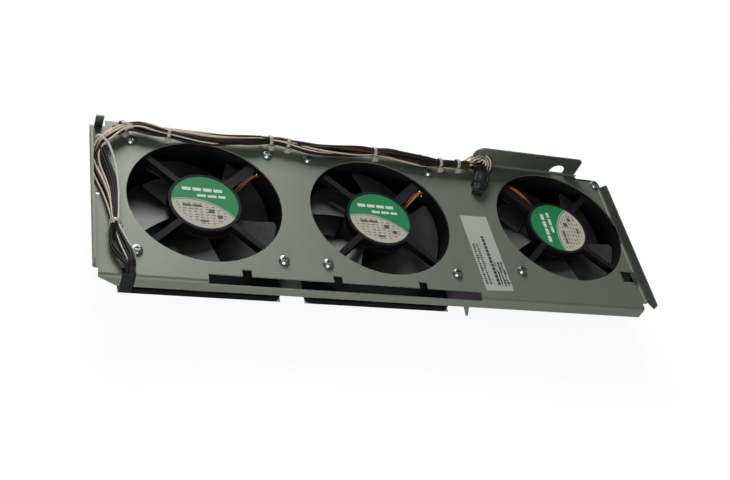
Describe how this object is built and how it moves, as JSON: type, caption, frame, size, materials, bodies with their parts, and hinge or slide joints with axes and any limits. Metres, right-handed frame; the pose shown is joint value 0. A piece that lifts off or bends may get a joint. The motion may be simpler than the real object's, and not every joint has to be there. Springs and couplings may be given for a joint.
{
  "type": "server fan module",
  "caption": "Folded sheet-metal plate carrying a row of square axial fans, with a tied wiring harness along its upper edge and free-spinning rotors.",
  "frame": {"origin": "on the axis of fan 2, in the plane of the fans' intake faces", "axes": "+X along the row of fans from fan 1 to fan 3, +Y towards the harness edge, +Z out of the plate, the way the air leaves"},
  "size_m": [0.4448, 0.154, 0.0585],
  "materials": {
    "zinc_sheet": "zinc plated, satin",
    "screw_steel": "zinc plated, bright",
    "black_wire": "semi-gloss sleeve",
    "cream_wire": "satin insulation",
    "lead_wire": "satin insulation",
    "nylon": "translucent natural nylon",
    "connector_plastic": "semi-gloss",
    "white_film": "satin film",
    "label_film": "satin film, part green",
    "fan_plastic": "fine matt moulding",
    "impeller_plastic": "fine matt moulding",
    "circuit_board": "solder mask",
    "brass": "turned",
    "bearing_steel": "ground",
    "lamination_steel": "stamped",
    "copper_wire": "enamelled",
    "magnet": "sintered"
  },
  "bodies": {
    "frame": {"mounting_plate": "zinc_sheet", "fan_screws": "screw_steel", "harness_trunk": "black_wire", "harness_branch": "black_wire", "signal_wires": "cream_wire", "cable_ties": "nylon", "main_plug": "connector_plastic", "link_socket": "connector_plastic", "link_plug": "connector_plastic", "blank_sticker": "white_film", "fan_housing_1": "fan_plastic", "motor_label_1": "label_film", "circuit_board_1": "circuit_board", "bearing_tube_1": "brass", "ball_bearings_1": "bearing_steel", "preload_washer_1": "bearing_steel", "stator_core_1": "lamination_steel", "stator_windings_1": "copper_wire", "fan_leads_1": "lead_wire", "fan_housing_2": "fan_plastic", "motor_label_2": "label_film", "circuit_board_2": "circuit_board", "bearing_tube_2": "brass", "ball_bearings_2": "bearing_steel", "preload_washer_2": "bearing_steel", "stator_core_2": "lamination_steel", "stator_windings_2": "copper_wire", "fan_leads_2": "lead_wire", "fan_housing_3": "fan_plastic", "motor_label_3": "label_film", "circuit_board_3": "circuit_board", "bearing_tube_3": "brass", "ball_bearings_3": "bearing_steel", "preload_washer_3": "bearing_steel", "stator_core_3": "lamination_steel", "stator_windings_3": "copper_wire", "fan_leads_3": "lead_wire"},
    "rotor_1": {"impeller_1": "impeller_plastic", "rotor_yoke_1": "lamination_steel", "magnet_ring_1": "magnet", "rotor_shaft_1": "bearing_steel", "retaining_ring_1": "bearing_steel"},
    "rotor_2": {"impeller_2": "impeller_plastic", "rotor_yoke_2": "lamination_steel", "magnet_ring_2": "magnet", "rotor_shaft_2": "bearing_steel", "retaining_ring_2": "bearing_steel"},
    "rotor_3": {"impeller_3": "impeller_plastic", "rotor_yoke_3": "lamination_steel", "magnet_ring_3": "magnet", "rotor_shaft_3": "bearing_steel", "retaining_ring_3": "bearing_steel"}
  },
  "joints": [
    {"name": "fan_1_spin", "type": "hinge", "parent": "frame", "child": "rotor_1", "pos_m": [-0.1385, 0, 0], "axis": [0, 0, 1], "continuous": true},
    {"name": "fan_2_spin", "type": "hinge", "parent": "frame", "child": "rotor_2", "pos_m": [0, 0, 0], "axis": [0, 0, 1], "continuous": true},
    {"name": "fan_3_spin", "type": "hinge", "parent": "frame", "child": "rotor_3", "pos_m": [0.1639, 0.0077, 0], "axis": [0, 0, 1], "continuous": true}
  ]
}
